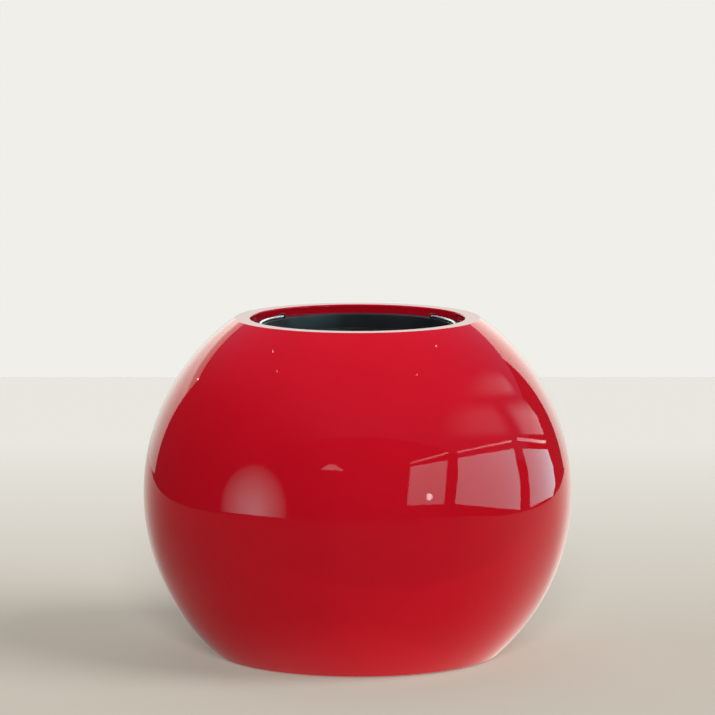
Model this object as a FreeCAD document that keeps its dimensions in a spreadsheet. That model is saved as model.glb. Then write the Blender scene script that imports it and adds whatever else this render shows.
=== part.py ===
"""A floor-standing sphere planter with a gloss shell, a lift-out liner and a drain.

The shell is a ball cut flat at the bottom and at the mouth, moulded as two halves that
are bonded at the widest line. A flat rim turns in at the mouth, and a collar under it
carries the liner. Frame: +Z up, origin on the ground under the middle of the ball.
Lengths are in millimetres.
"""

import FreeCAD, Part
import os

import Sketcher

# The driving dimensions: name, value in millimetres (or a count or an angle), what it is.
SIZES = [
    ("ball_diameter", 760, "outside of the shell at its widest"),
    ("base_diameter", 502, "flat that the ball is cut to at the bottom"),
    ("opening_diameter", 380, "clear width of the mouth inside the rim"),
    ("rim_width", 27, "flat top of the rim, from the mouth to the ball"),
    ("rim_edge", 3, "rounding of the rim's outer edge"),
    ("mouth_edge", 2.5, "rounding of the rim's inner edge"),
    ("shell_wall", 6, "wall of the two shell halves"),
    ("floor_wall", 8, "floor of the lower half"),
    ("base_edge", 6, "rounding where the ball meets its base"),
    ("foot_gap", 3, "base above the ground"),
    ("bond_line", 0.3, "glue gap between curved bonded faces"),
    ("band_width", 90, "height of the strip that bonds the two halves"),
    ("band_wall", 4, "thickness of that strip"),
    ("collar_wall", 5, "wall of the collar under the rim"),
    ("collar_margin", 4, "collar's bonding flange to the inside of the ball"),
    ("ledge_width", 16, "shelf in the collar that carries the liner"),
    ("seat_ring", 3, "thickness of the rubber ring on that shelf"),
    ("seat_margin", 1, "bare shelf on each side of the rubber ring"),
    ("seat_gap", 0.2, "gap between loose pieces that rest on each other"),
    ("lip_drop", 15, "top of the liner below the top of the rim"),
    ("lip_height", 14, "turned-down edge of the liner's lip"),
    ("lip_gap", 2, "liner's lip to the collar"),
    ("lip_edge", 1.5, "rounding of both edges of the liner's lip"),
    ("liner_gap", 2, "liner's wall to the shelf that it passes"),
    ("liner_wall", 3, "wall of the liner"),
    ("liner_depth", 330, "liner from its lip to its foot"),
    ("liner_taper", 28, "how much the liner's radius shrinks to its foot"),
    ("liner_band", 28, "straight band under the liner's lip"),
    ("liner_step", 4, "step in under that band"),
    ("liner_foot", 7, "height of the ring that the liner stands on"),
    ("liner_floor", 4, "floor of the liner"),
    ("liner_corner", 6, "rounding inside the liner, between its floor and its wall"),
    ("weep_diameter", 14, "drain holes in the liner's floor"),
    ("weep_inset", 46, "middle of those holes inside the liner's wall"),
    ("weep_count", 8, "number of those holes"),
    ("wire_diameter", 5, "wire of the two lifting handles"),
    ("wire_gap", 0.5, "handle above the lip that it lies on"),
    ("wire_inset", 16, "middle of the wire inside the edge of the lip"),
    ("wire_bend", 8, "bend between a handle's arc and its pins"),
    ("handle_angle", 38, "half of the arc that a handle spans, in degrees"),
    ("pin_length", 10, "straight end of a handle in its clip"),
    ("pin_gap", 0.08, "handle pin to the hole in its clip"),
    ("clip_length", 6, "clip along the pin"),
    ("clip_wall", 2.5, "plastic of the clip round the pin"),
    ("board_wall", 12, "stiffening board on the floor"),
    ("board_margin", 22, "board's edge inside the edge of the base"),
    ("board_gap", 0.5, "board to the raised middle of the floor"),
    ("pad_count", 6, "number of rubber feet and of their screws"),
    ("pad_diameter", 44, "rubber foot"),
    ("pad_margin", 19, "edge of a foot inside the edge of the base"),
    ("pad_recess", 3, "pocket that a foot sits in"),
    ("pad_gap", 0.4, "foot to the wall of its pocket"),
    ("pad_edge", 1.5, "bevel of a foot's lower edge"),
    ("screw_diameter", 4, "shank of a foot's screw"),
    ("screw_head", 8, "head of that screw"),
    ("screw_length", 16, "screw from its head's face to its end"),
    ("screw_sink", 1, "screw's head above the face of the foot"),
    ("screw_gap", 0.15, "screw to the holes that it goes through"),
    ("drain_bore", 28, "clear way through the drain fitting"),
    ("drain_wall", 4, "wall of the drain fitting"),
    ("drain_flange", 11, "width of its flange"),
    ("drain_flange_wall", 4, "thickness of its flange"),
    ("drain_flange_edge", 1, "rounding of the flange's upper edge"),
    ("drain_washer", 2, "rubber washer under the flange"),
    ("drain_tail", 3, "end of the drain fitting below its nut"),
    ("drain_gap", 0.3, "drain fitting to the holes that it goes through"),
    ("nut_wall", 3.5, "drain nut from its bore to its flats"),
    ("nut_height", 7, "thickness of the drain nut"),
    ("nut_cover", 5, "drain nut inside the hollow that it sits in"),
    ("recess_margin", 33, "that hollow, outside the nut, for a spanner"),
    ("stopper_gap", 0.1, "stopper to the top of the drain fitting's bore"),
    ("stopper_taper", 1.2, "how much the stopper's radius shrinks to its tip"),
    ("stopper_length", 18, "stopper inside the bore"),
    ("stopper_rim", 4, "stopper's head over the edge of the bore"),
    ("stopper_head", 5, "thickness of that head"),
    ("stopper_edge", 1.5, "rounding of that head's upper edge"),
    ("tab_width", 14, "pull tab on the stopper"),
    ("tab_height", 16, "height of that tab"),
    ("tab_wall", 5, "thickness of that tab"),
    ("eye_diameter", 6, "hole in the tab"),
    ("ring_diameter", 30, "pull ring, at the middle of its wire"),
    ("ring_wire", 2.4, "wire of the pull ring"),
]

NUT_SIDES = 6

DOC = FreeCAD.newDocument("sphere_planter")
SHEET = DOC.addObject("Spreadsheet::Sheet", "Sizes")


def fill_sheet():
    """Writes the driving dimensions into the sheet, one aliased cell each."""
    for row, (name, value, meaning) in enumerate(SIZES, start=1):
        SHEET.set(f"A{row}", name)
        SHEET.set(f"B{row}", str(value))
        SHEET.setAlias(f"B{row}", name)
        SHEET.set(f"C{row}", meaning)
    DOC.recompute()


def size(name):
    """The expression that reads one driving dimension."""
    return f"Sizes.{name}"


def half(name):
    """The expression for half of a driving dimension."""
    return f"Sizes.{name} / 2"


def plus(*terms):
    """The expression for a sum of expressions."""
    return " + ".join(f"({term})" for term in terms)


def minus(*terms):
    """The expression for the first expression with the others taken away from it."""
    return " - ".join(f"({term})" for term in terms)


def reach(radius, height):
    """The expression for a circle's half width at a height from its middle."""
    return f"sqrt(({radius})^2 - ({height})^2)"


def worth(expression):
    """The number that an expression stands for now."""
    return float(SHEET.evalExpression(expression))


# The ball, its base and its mouth, as expressions on the sheet.
BALL_R = half("ball_diameter")
INNER_R = minus(BALL_R, size("shell_wall"))
BASE_R = half("base_diameter")
BASE_Z = size("foot_gap")
MOUTH_R = half("opening_diameter")
RIM_R = plus(MOUTH_R, size("rim_width"))
BALL_Z = plus(BASE_Z, reach(BALL_R, BASE_R))
RIM_Z = plus(BALL_Z, reach(BALL_R, RIM_R))
COLLAR_TOP = minus(RIM_Z, size("shell_wall"))
CORNER_R = reach(INNER_R, minus(COLLAR_TOP, BALL_Z))

# The liner's seat in the collar, from the rim down.
LIP_TOP = minus(RIM_Z, size("lip_drop"))
LIP_END = minus(LIP_TOP, size("lip_height"))
LEDGE_Z = minus(LIP_END, size("seat_gap"), size("seat_ring"))
LEDGE_R = minus(MOUTH_R, size("ledge_width"))
LIP_R = minus(MOUTH_R, size("lip_gap"))
LINER_R = minus(LEDGE_R, size("liner_gap"))

# The drain, from the nut in its hollow up to the stopper's seat.
DRAIN_R = half("drain_bore")
DRAIN_OUT_R = plus(DRAIN_R, size("drain_wall"))
DRAIN_HOLE_R = plus(DRAIN_OUT_R, size("drain_gap"))
DRAIN_FLANGE_R = plus(DRAIN_OUT_R, size("drain_flange"))
NUT_R = f"({plus(DRAIN_HOLE_R, size('nut_wall'))}) / cos(180 / {NUT_SIDES})"
NUT_Z = plus(BASE_Z, size("nut_cover"))
RECESS_R = plus(NUT_R, size("recess_margin"))
RECESS_Z = plus(NUT_Z, size("nut_height"))
HAT_R = plus(RECESS_R, size("floor_wall"))
FLOOR_Z = plus(BASE_Z, size("floor_wall"))
DECK_Z = plus(RECESS_Z, size("floor_wall"))
WASHER_TOP = plus(DECK_Z, size("drain_washer"))
DRAIN_TOP = plus(WASHER_TOP, size("drain_flange_wall"))
STOPPER_Z = plus(DRAIN_TOP, size("seat_gap"))
TAB_Z = plus(STOPPER_Z, size("stopper_head"))
TAB_TOP = plus(TAB_Z, size("tab_height"))
EYE_Z = minus(TAB_TOP, size("eye_diameter"))

# The feet and their screws.
PAD_R = half("pad_diameter")
PAD_RING_R = minus(BASE_R, size("pad_margin"), PAD_R)
PAD_TOP = plus(BASE_Z, size("pad_recess"))
SCREW_R = half("screw_diameter")
SCREW_HOLE_R = plus(SCREW_R, size("screw_gap"))
SCREW_HEAD_R = half("screw_head")
SCREW_FACE = size("screw_sink")
SCREW_NECK = minus(plus(SCREW_FACE, SCREW_HEAD_R), SCREW_R)
SCREW_END = plus(SCREW_FACE, size("screw_length"))

# The handles: an arc over the lip, a bend out to the pins, and the line that the pins turn on.
WIRE_R = half("wire_diameter")
WIRE_Z = plus(LIP_TOP, size("wire_gap"), WIRE_R)
WIRE_ARC_R = minus(LIP_R, size("wire_inset"))
BEND_R = plus(WIRE_ARC_R, size("wire_bend"))
HANDLE_COS = f"cos({size('handle_angle')})"
HANDLE_SIN = f"sin({size('handle_angle')})"
BEND_X = f"({BEND_R}) * {HANDLE_COS}"
PIN_X = minus(BEND_X, size("wire_bend"))
PIN_Y = f"({BEND_R}) * {HANDLE_SIN}"


def new_body(label):
    """An empty body that carries one sub-part's name."""
    body = DOC.addObject("PartDesign::Body", label)
    body.Label = label
    return body


def origin_feature(body, role):
    """One of the body's own base planes or axes, such as XZ_Plane."""
    return next(f for f in body.Origin.OriginFeatures if f.Role == role)


def new_sketch(body, name, role, offset=None):
    """A sketch on one of the body's base planes, moved along the plane's normal by offset."""
    sketch = body.newObject("Sketcher::SketchObject", name)
    sketch.AttachmentSupport = [(origin_feature(body, role), "")]
    sketch.MapMode = "FlatFace"
    if offset is not None:
        sketch.setExpression("AttachmentOffset.Base.z", offset)
    DOC.recompute()
    return sketch


def bind(sketch, constraint, expression):
    """Adds a constraint with a size and ties that size to an expression."""
    number = sketch.addConstraint(constraint)
    sketch.setExpression(f"Constraints[{number}]", expression)


def pin_point(sketch, edge, end, x, y):
    """Ties one point of an edge to a place that is given by two expressions."""
    for kind, axis, expression in (("DistanceX", -2, x), ("DistanceY", -1, y)):
        if expression == "0":
            sketch.addConstraint(Sketcher.Constraint("PointOnObject", edge, end, axis))
        else:
            bind(sketch, Sketcher.Constraint(kind, -1, 1, edge, end, worth(expression)), expression)


def add_edge(sketch, start, end, about=None):
    """Draws a line from start to end, or the short arc about a middle."""
    if about is None:
        return sketch.addGeometry(Part.LineSegment(start, end), False)
    spread = (start + end) * 0.5 - about
    through = about + spread.normalize() * (start - about).Length
    return sketch.addGeometry(Part.Arc(start, through, end), False)


def outline(body, name, role, corners, arcs=None, offset=None, closed=True):
    """A sketch through corners, each a pair of expressions.

    arcs maps a corner's number to (middle x, middle y, radius): the edge that leaves that
    corner is then an arc of that radius, bulging away from that middle.
    """
    sketch = new_sketch(body, name, role, offset)
    arcs = arcs or {}
    places = [FreeCAD.Vector(worth(x), worth(y), 0) for x, y in corners]
    count = len(corners) if closed else len(corners) - 1
    edges = []
    for i in range(count):
        about = FreeCAD.Vector(worth(arcs[i][0]), worth(arcs[i][1]), 0) if i in arcs else None
        edges.append(add_edge(sketch, places[i], places[(i + 1) % len(places)], about))
    # An arc runs anticlockwise, so its first point can be the corner that it leads to.
    starts = []
    for edge, place in zip(edges, places):
        starts.append(1 if sketch.getPoint(edge, 1).isEqual(place, 1e-6) else 2)
    for i, edge in enumerate(edges):
        pin_point(sketch, edge, starts[i], *corners[i])
        if i in arcs:
            radius = arcs[i][2]
            bind(sketch, Sketcher.Constraint("Radius", edge, worth(radius)), radius)
        after = (i + 1) % count
        if closed or after:
            joined = (edge, 3 - starts[i], edges[after], starts[after])
            sketch.addConstraint(Sketcher.Constraint("Coincident", *joined))
    if not closed:
        pin_point(sketch, edges[-1], 3 - starts[-1], *corners[-1])
    DOC.recompute()
    return sketch


def add_circle(sketch, x, y, radius):
    """Draws a circle whose middle and radius are given by expressions."""
    middle = FreeCAD.Vector(worth(x), worth(y), 0)
    circle = Part.Circle(middle, FreeCAD.Vector(0, 0, 1), worth(radius))
    edge = sketch.addGeometry(circle, False)
    pin_point(sketch, edge, 3, x, y)
    bind(sketch, Sketcher.Constraint("Radius", edge, worth(radius)), radius)
    DOC.recompute()


def disc(body, name, role, x, y, radius, offset=None):
    """A sketch of one circle."""
    sketch = new_sketch(body, name, role, offset)
    add_circle(sketch, x, y, radius)
    return sketch


def revolve(body, name, sketch, axis):
    """Turns a sketch once round one of its own axes."""
    spin = body.newObject("PartDesign::Revolution", name)
    spin.Profile = sketch
    spin.ReferenceAxis = (sketch, [axis])
    spin.Angle = 360
    DOC.recompute()
    return spin


def turned(body, name, corners, arcs=None):
    """Turns an outline of (radius, height) corners round the body's Z axis."""
    sketch = outline(body, f"{name}_outline", "XZ_Plane", corners, arcs)
    return revolve(body, name, sketch, "V_Axis")


def turned_at(body, name, axis_x, corners):
    """Turns an outline of (radius, height) corners round an upright line at axis_x."""
    moved = [(plus(axis_x, radius), height) for radius, height in corners]
    sketch = outline(body, f"{name}_outline", "XZ_Plane", moved)
    foot = FreeCAD.Vector(worth(axis_x), 0, 0)
    axis = sketch.addGeometry(Part.LineSegment(foot, foot + FreeCAD.Vector(0, 1, 0)), True)
    pin_point(sketch, axis, 1, axis_x, "0")
    sketch.addConstraint(Sketcher.Constraint("Vertical", axis))
    sketch.addConstraint(Sketcher.Constraint("DistanceY", axis, 1, axis, 2, 1))
    DOC.recompute()
    return revolve(body, name, sketch, "Axis0")


def drilled(body, name, x, radius, bottom, depth):
    """A round hole upwards from a height, with its middle on the X axis."""
    before = body.Shape.Volume
    cut = body.newObject("PartDesign::Pocket", name)
    cut.Profile = disc(body, f"{name}_circle", "XY_Plane", x, "0", radius, bottom)
    cut.setExpression("Length", depth)
    cut.Reversed = True
    DOC.recompute()
    if body.Shape.Volume >= before:
        raise RuntimeError(f"{name} cuts nothing")
    return cut


def ringed(body, name, features, count):
    """Repeats features round the body's Z axis."""
    ring = body.newObject("PartDesign::PolarPattern", name)
    ring.Originals = features
    ring.Axis = (origin_feature(body, "Z_Axis"), [""])
    ring.Angle = 360
    ring.setExpression("Occurrences", count)
    body.Tip = ring
    DOC.recompute()
    return ring


def mirrored(body, name, feature, role):
    """Repeats a feature on the other side of one of the body's base planes."""
    whole = body.newObject("PartDesign::Mirrored", name)
    whole.Originals = [feature]
    whole.MirrorPlane = (origin_feature(body, role), [""])
    body.Tip = whole
    DOC.recompute()
    return whole


def rounded(body, name, radius, height, rounding):
    """Rounds the body's circular edge that has this radius and height."""
    base = body.Tip
    found = []
    for number, edge in enumerate(base.Shape.Edges, start=1):
        if not isinstance(edge.Curve, Part.Circle):
            continue
        same_radius = abs(edge.Curve.Radius - worth(radius)) < 1e-4
        same_height = abs(edge.Curve.Center.z - worth(height)) < 1e-4
        if same_radius and same_height:
            found.append(f"Edge{number}")
    if len(found) != 1:
        raise RuntimeError(f"{name} found {len(found)} edges")
    soft = body.newObject("PartDesign::Fillet", name)
    soft.Base = (base, found)
    soft.setExpression("Radius", rounding)
    body.Tip = soft
    DOC.recompute()
    return soft


def upper_shell():
    """Upper half of the ball, with the flat rim turned in to the mouth."""
    body = new_body("upper_shell")
    corners = [
        (BALL_R, BALL_Z),
        (RIM_R, RIM_Z),
        (MOUTH_R, RIM_Z),
        (MOUTH_R, COLLAR_TOP),
        (CORNER_R, COLLAR_TOP),
        (INNER_R, BALL_Z),
    ]
    arcs = {0: ("0", BALL_Z, BALL_R), 4: ("0", BALL_Z, INNER_R)}
    turned(body, "upper_turn", corners, arcs)
    rounded(body, "rim_round", RIM_R, RIM_Z, size("rim_edge"))
    rounded(body, "mouth_round", MOUTH_R, RIM_Z, size("mouth_edge"))
    return body


def lower_shell():
    """Lower half of the ball, with its floor, the hollow for the drain and the foot pockets."""
    body = new_body("lower_shell")
    corners = [
        (BALL_R, BALL_Z),
        (BASE_R, BASE_Z),
        (RECESS_R, BASE_Z),
        (RECESS_R, RECESS_Z),
        (DRAIN_HOLE_R, RECESS_Z),
        (DRAIN_HOLE_R, DECK_Z),
        (HAT_R, DECK_Z),
        (HAT_R, FLOOR_Z),
        (reach(INNER_R, minus(BALL_Z, FLOOR_Z)), FLOOR_Z),
        (INNER_R, BALL_Z),
    ]
    arcs = {0: ("0", BALL_Z, BALL_R), 8: ("0", BALL_Z, INNER_R)}
    turned(body, "lower_turn", corners, arcs)
    rounded(body, "base_round", BASE_R, BASE_Z, size("base_edge"))
    pocket_r = plus(PAD_R, size("pad_gap"))
    pocket = drilled(body, "foot_pocket", PAD_RING_R, pocket_r, BASE_Z, size("pad_recess"))
    hole = drilled(body, "foot_hole", PAD_RING_R, SCREW_HOLE_R, BASE_Z, size("floor_wall"))
    ringed(body, "foot_pockets", [pocket, hole], size("pad_count"))
    return body


def joint_band():
    """Strip bonded inside the ball across the line where its halves meet."""
    body = new_body("joint_band")
    outer_r = minus(INNER_R, size("bond_line"))
    inner_r = minus(outer_r, size("band_wall"))
    rise = half("band_width")
    bottom = minus(BALL_Z, rise)
    top = plus(BALL_Z, rise)
    corners = [
        (reach(outer_r, rise), bottom),
        (reach(outer_r, rise), top),
        (reach(inner_r, rise), top),
        (reach(inner_r, rise), bottom),
    ]
    arcs = {0: ("0", BALL_Z, outer_r), 2: ("0", BALL_Z, inner_r)}
    turned(body, "band_turn", corners, arcs)
    return body


def rim_collar():
    """Collar bonded under the rim, with the shelf that carries the liner."""
    body = new_body("rim_collar")
    flange_r = minus(CORNER_R, size("collar_margin"))
    wall_r = plus(MOUTH_R, size("collar_wall"))
    flange_z = minus(COLLAR_TOP, size("collar_wall"))
    shelf_z = minus(LEDGE_Z, size("collar_wall"))
    turned(body, "collar_turn", [
        (MOUTH_R, COLLAR_TOP),
        (flange_r, COLLAR_TOP),
        (flange_r, flange_z),
        (wall_r, flange_z),
        (wall_r, shelf_z),
        (LEDGE_R, shelf_z),
        (LEDGE_R, LEDGE_Z),
        (MOUTH_R, LEDGE_Z),
    ])
    return body


def flat_ring(label, inner_r, outer_r, bottom, top):
    """A plain ring with a rectangular section."""
    body = new_body(label)
    turned(body, f"{label}_turn", [
        (inner_r, bottom),
        (outer_r, bottom),
        (outer_r, top),
        (inner_r, top),
    ])
    return body


def seat_gasket():
    """Rubber ring on the collar's shelf, under the liner's lip."""
    inner_r = plus(LEDGE_R, size("seat_margin"))
    outer_r = minus(MOUTH_R, size("seat_margin"))
    return flat_ring("seat_gasket", inner_r, outer_r, LEDGE_Z, plus(LEDGE_Z, size("seat_ring")))


def liner_pot():
    """Lift-out pot: a turned-down lip, a straight band, a tapered wall and a foot ring."""
    body = new_body("liner_pot")
    wall = size("liner_wall")
    band_z = minus(LIP_TOP, size("liner_band"))
    step_r = minus(LINER_R, size("liner_step"))
    foot_r = minus(LINER_R, size("liner_taper"))
    foot_z = minus(LIP_TOP, size("liner_depth"))
    under = plus(foot_z, size("liner_foot"))
    floor_top = plus(under, size("liner_floor"))
    inner_foot = minus(foot_r, wall)
    turned(body, "liner_turn", [
        (LIP_R, LIP_END),
        (LIP_R, LIP_TOP),
        (minus(LINER_R, wall), LIP_TOP),
        (minus(LINER_R, wall), plus(band_z, wall)),
        (minus(step_r, wall), plus(band_z, wall)),
        (inner_foot, floor_top),
        ("0", floor_top),
        ("0", under),
        (inner_foot, under),
        (inner_foot, foot_z),
        (foot_r, foot_z),
        (step_r, band_z),
        (LINER_R, band_z),
        (LINER_R, minus(LIP_TOP, wall)),
        (minus(LIP_R, wall), minus(LIP_TOP, wall)),
        (minus(LIP_R, wall), LIP_END),
    ])
    rounded(body, "lip_round", LIP_R, LIP_TOP, size("lip_edge"))
    rounded(body, "lip_inner_round", minus(LINER_R, wall), LIP_TOP, size("lip_edge"))
    rounded(body, "floor_round", inner_foot, floor_top, size("liner_corner"))
    weep_x = minus(inner_foot, size("weep_inset"))
    weep = drilled(body, "weep_hole", weep_x, half("weep_diameter"), under, size("liner_floor"))
    ringed(body, "weep_holes", [weep], size("weep_count"))
    return body


def turn_about_z(angle):
    """A placement that turns a piece about the upright axis."""
    return FreeCAD.Placement(FreeCAD.Vector(), FreeCAD.Rotation(FreeCAD.Vector(0, 0, 1), angle))


def lifting_handle(label, angle):
    """Wire handle that lies on the liner's lip, turned about Z to its side."""
    body = new_body(label)
    corners = [
        (WIRE_ARC_R, "0"),
        (f"({WIRE_ARC_R}) * {HANDLE_COS}", f"({WIRE_ARC_R}) * {HANDLE_SIN}"),
        (PIN_X, PIN_Y),
        (PIN_X, plus(PIN_Y, size("pin_length"))),
    ]
    arcs = {0: ("0", "0", WIRE_ARC_R), 1: (BEND_X, PIN_Y, size("wire_bend"))}
    path = outline(body, f"{label}_path", "XY_Plane", corners, arcs, WIRE_Z, closed=False)
    wire = body.newObject("PartDesign::AdditivePipe", f"{label}_wire")
    wire.Profile = disc(body, f"{label}_section", "XZ_Plane", WIRE_ARC_R, WIRE_Z, WIRE_R)
    wire.Spine = (path, [f"Edge{number}" for number in range(1, len(corners))])
    DOC.recompute()
    mirrored(body, f"{label}_whole", wire, "XZ_Plane")
    body.Placement = turn_about_z(angle)
    DOC.recompute()
    return body


def handle_clip(name, start, angle):
    """One clip on the lip: a block with a round top and a hole for the handle's pin.

    The clip runs towards -Y from the plane at start, and is then turned to its side.
    """
    body = new_body(f"clip_{name}")
    bore_r = plus(WIRE_R, size("pin_gap"))
    crown_r = plus(bore_r, size("clip_wall"))
    low_x = minus(PIN_X, crown_r)
    high_x = plus(PIN_X, crown_r)
    corners = [
        (low_x, LIP_TOP),
        (high_x, LIP_TOP),
        (high_x, WIRE_Z),
        (PIN_X, plus(WIRE_Z, crown_r)),
        (low_x, WIRE_Z),
    ]
    crown = (PIN_X, WIRE_Z, crown_r)
    # The XZ plane faces -Y, so a plane at a positive Y has a negative offset.
    sketch = outline(
        body, f"clip_{name}_outline", "XZ_Plane", corners, {2: crown, 3: crown}, f"-({start})")
    add_circle(sketch, PIN_X, WIRE_Z, bore_r)
    block = body.newObject("PartDesign::Pad", f"clip_{name}_block")
    block.Profile = sketch
    block.setExpression("Length", size("clip_length"))
    body.Placement = turn_about_z(angle)
    DOC.recompute()
    return body


def handle_clips():
    """Clips on the liner's lip that hold the pins of the two handles."""
    inner_y = plus(PIN_Y, f"({minus(size('pin_length'), size('clip_length'))}) / 2")
    outer_y = plus(inner_y, size("clip_length"))
    clips = []
    for side, angle in (("right", 0), ("left", 180)):
        clips.append(handle_clip(f"{side}_back", outer_y, angle))
        clips.append(handle_clip(f"{side}_front", f"-({inner_y})", angle))
    group = DOC.addObject("Part::Compound", "handle_clips")
    group.Links = clips
    DOC.recompute()
    return group


def base_board():
    """Stiffening board bonded to the floor, round the floor's raised middle."""
    inner_r = plus(HAT_R, size("board_gap"))
    outer_r = minus(BASE_R, size("board_margin"))
    body = flat_ring("base_board", inner_r, outer_r, FLOOR_Z, plus(FLOOR_Z, size("board_wall")))
    hole = drilled(body, "board_hole", PAD_RING_R, SCREW_HOLE_R, FLOOR_Z, size("board_wall"))
    ringed(body, "board_holes", [hole], size("pad_count"))
    return body


def foot_pads():
    """Rubber feet in the pockets under the base, each with a countersunk hole."""
    body = new_body("foot_pads")
    body.AllowCompound = True
    sunk_r = plus(SCREW_HEAD_R, size("screw_gap"))
    pad = turned_at(body, "foot_pad", PAD_RING_R, [
        (sunk_r, "0"),
        (minus(PAD_R, size("pad_edge")), "0"),
        (PAD_R, size("pad_edge")),
        (PAD_R, PAD_TOP),
        (SCREW_HOLE_R, PAD_TOP),
        (SCREW_HOLE_R, SCREW_NECK),
        (sunk_r, SCREW_FACE),
    ])
    ringed(body, "foot_ring", [pad], size("pad_count"))
    return body


def foot_screws():
    """Countersunk screws that hold the feet to the base and its board."""
    body = new_body("foot_screws")
    body.AllowCompound = True
    screw = turned_at(body, "foot_screw", PAD_RING_R, [
        ("0", SCREW_FACE),
        (SCREW_HEAD_R, SCREW_FACE),
        (SCREW_R, SCREW_NECK),
        (SCREW_R, minus(SCREW_END, SCREW_R)),
        ("0", SCREW_END),
    ])
    ringed(body, "screw_ring", [screw], size("pad_count"))
    return body


def drain_bush():
    """Flanged outlet through the middle of the floor."""
    body = new_body("drain_bush")
    end = minus(NUT_Z, size("drain_tail"))
    turned(body, "bush_turn", [
        (DRAIN_R, end),
        (DRAIN_OUT_R, end),
        (DRAIN_OUT_R, WASHER_TOP),
        (DRAIN_FLANGE_R, WASHER_TOP),
        (DRAIN_FLANGE_R, DRAIN_TOP),
        (DRAIN_R, DRAIN_TOP),
    ])
    rounded(body, "flange_round", DRAIN_FLANGE_R, DRAIN_TOP, size("drain_flange_edge"))
    return body


def drain_washer():
    """Rubber washer between the outlet's flange and the floor."""
    return flat_ring("drain_washer", DRAIN_HOLE_R, DRAIN_FLANGE_R, DECK_Z, WASHER_TOP)


def drain_nut():
    """Hexagon nut that clamps the outlet from below."""
    blank = DOC.addObject("Part::Prism", "nut_blank")
    blank.Polygon = NUT_SIDES
    blank.setExpression("Circumradius", NUT_R)
    bore = DOC.addObject("Part::Cylinder", "nut_bore")
    bore.setExpression("Radius", DRAIN_HOLE_R)
    for piece in (blank, bore):
        piece.setExpression("Height", size("nut_height"))
        piece.setExpression("Placement.Base.z", NUT_Z)
    nut = DOC.addObject("Part::Cut", "drain_nut")
    nut.Base = blank
    nut.Tool = bore
    DOC.recompute()
    return nut


def drain_stopper():
    """Rubber stopper in the outlet, with a pull tab that has an eye."""
    body = new_body("drain_stopper")
    neck_r = minus(DRAIN_R, size("stopper_gap"))
    tip_r = minus(neck_r, size("stopper_taper"))
    tip_z = minus(STOPPER_Z, size("stopper_length"))
    head_r = plus(DRAIN_R, size("stopper_rim"))
    turned(body, "stopper_turn", [
        ("0", tip_z),
        (tip_r, tip_z),
        (neck_r, STOPPER_Z),
        (head_r, STOPPER_Z),
        (head_r, TAB_Z),
        ("0", TAB_Z),
    ])
    rounded(body, "head_round", head_r, TAB_Z, size("stopper_edge"))
    crown_z = minus(TAB_TOP, half("tab_width"))
    tab = body.newObject("PartDesign::Pad", "pull_tab")
    corners = [
        ("0", TAB_Z),
        (half("tab_width"), TAB_Z),
        (half("tab_width"), crown_z),
        ("0", TAB_TOP),
    ]
    crown = ("0", crown_z, half("tab_width"))
    tab.Profile = outline(body, "tab_outline", "XZ_Plane", corners, {2: crown})
    tab.SideType = "Symmetric"
    tab.setExpression("Length", size("tab_wall"))
    DOC.recompute()
    mirrored(body, "pull_tab_whole", tab, "YZ_Plane")
    before = body.Shape.Volume
    eye = body.newObject("PartDesign::Pocket", "tab_eye")
    eye.Profile = disc(body, "eye_circle", "XZ_Plane", "0", EYE_Z, half("eye_diameter"))
    eye.SideType = "Symmetric"
    eye.setExpression("Length", f"2 * {size('tab_wall')}")
    DOC.recompute()
    if body.Shape.Volume >= before:
        raise RuntimeError("the stopper's eye cuts nothing")
    return body


def stopper_ring():
    """Pull ring through the stopper's eye, fallen to one side onto the outlet's flange."""
    ring = DOC.addObject("Part::Torus", "stopper_ring")
    ring.setExpression("Radius1", half("ring_diameter"))
    ring.setExpression("Radius2", half("ring_wire"))
    held_z = plus(minus(EYE_Z, half("eye_diameter")), half("ring_wire"), size("seat_gap"))
    fallen_z = plus(DRAIN_TOP, half("ring_wire"), size("seat_gap"))
    tilt = f"asin(({minus(held_z, fallen_z)}) / {size('ring_diameter')})"
    lean = FreeCAD.Rotation(FreeCAD.Vector(0, 1, 0), 1)
    ring.Placement = FreeCAD.Placement(FreeCAD.Vector(), lean)
    ring.setExpression("Placement.Rotation.Angle", tilt)
    ring.setExpression("Placement.Base.x", f"{half('ring_diameter')} * cos({tilt})")
    ring.setExpression("Placement.Base.z", f"({plus(held_z, fallen_z)}) / 2")
    DOC.recompute()
    return ring


def check_document():
    """Stops if any object failed to build."""
    for item in DOC.Objects:
        if "Invalid" in item.State or "Error" in item.State:
            raise RuntimeError(f"{item.Label} failed: {item.State}")


def export(pieces):
    """Writes each sub-part's shape to parts/ under its own name."""
    for piece in pieces:
        shape = piece.Shape
        if shape.isNull() or not shape.isValid() or not shape.Solids:
            raise RuntimeError(f"{piece.Label} has no valid solid")
    os.makedirs("parts", exist_ok=True)
    for piece in pieces:
        shape = piece.Shape
        shape.exportStep(f"parts/{piece.Label}.step")
        print(f"{piece.Label}: {len(shape.Solids)} solids, {shape.Volume / 1000:.1f} cm3")


fill_sheet()
PIECES = [
    upper_shell(),
    lower_shell(),
    joint_band(),
    rim_collar(),
    seat_gasket(),
    base_board(),
    foot_pads(),
    foot_screws(),
    drain_bush(),
    drain_washer(),
    drain_nut(),
    drain_stopper(),
    stopper_ring(),
    liner_pot(),
    handle_clips(),
    lifting_handle("handle_right", 0),
    lifting_handle("handle_left", 180),
]
DOC.recompute()
check_document()
export(PIECES)
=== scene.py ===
"""Looks of a gloss ball-shaped planter: its lacquered shell, each piece's finish and a plain studio."""

import math

import bpy
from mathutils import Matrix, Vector
from mathutils.geometry import tessellate_polygon


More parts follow.
